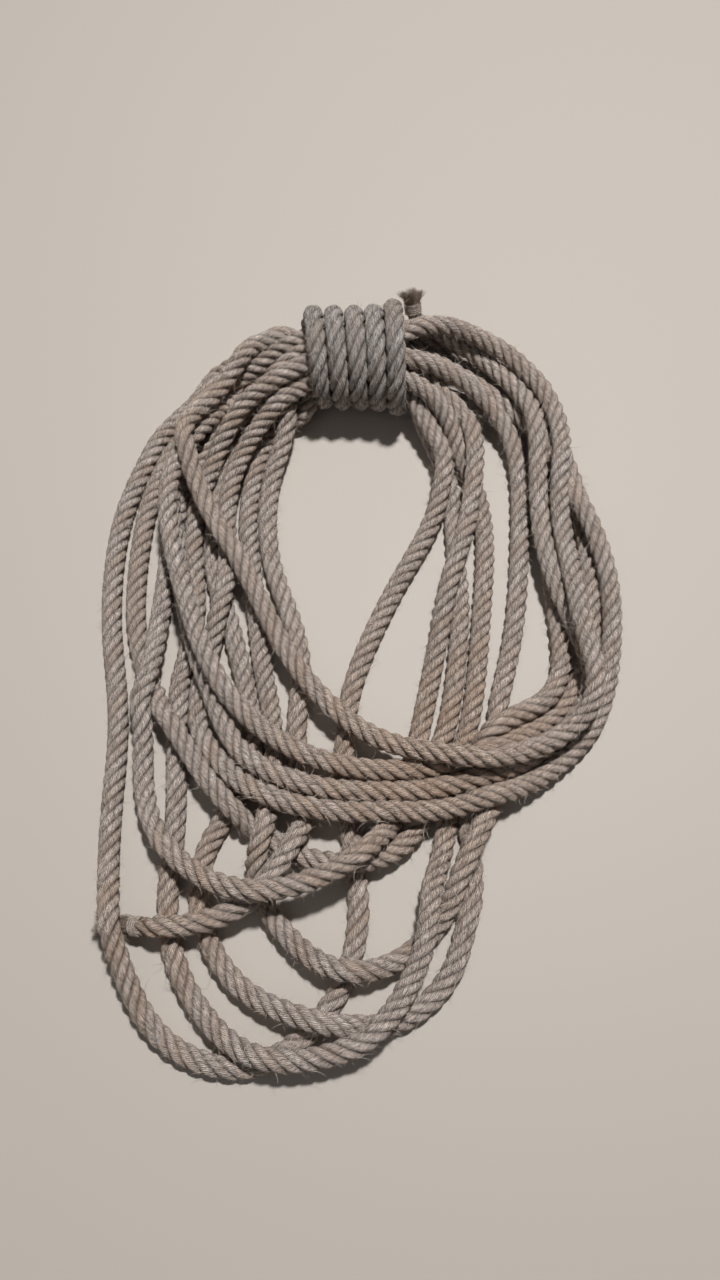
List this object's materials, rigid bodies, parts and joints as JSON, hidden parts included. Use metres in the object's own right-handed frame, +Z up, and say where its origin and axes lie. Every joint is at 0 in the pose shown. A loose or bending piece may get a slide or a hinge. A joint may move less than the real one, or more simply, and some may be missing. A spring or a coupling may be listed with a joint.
{
  "type": "coiled frayed rope",
  "caption": "Hank of thick natural-fibre rope lying flat, its long loops bound together at one end, with twine whippings near both frayed ends.",
  "frame": {"origin": "middle of the hank's outline on the surface it lies on", "axes": "+Z up, +Y from the free loops towards the bound end, +X to the right when seen from above with the bound end away from the viewer"},
  "size_m": [0.4255, 0.6324, 0.0935],
  "materials": {
    "rope": "matt, hairy natural fibre",
    "twine": "matt twine"
  },
  "bodies": {
    "root": {"rope": "rope", "whipping_low": "twine", "whipping_top": "twine"}
  },
  "joints": []
}
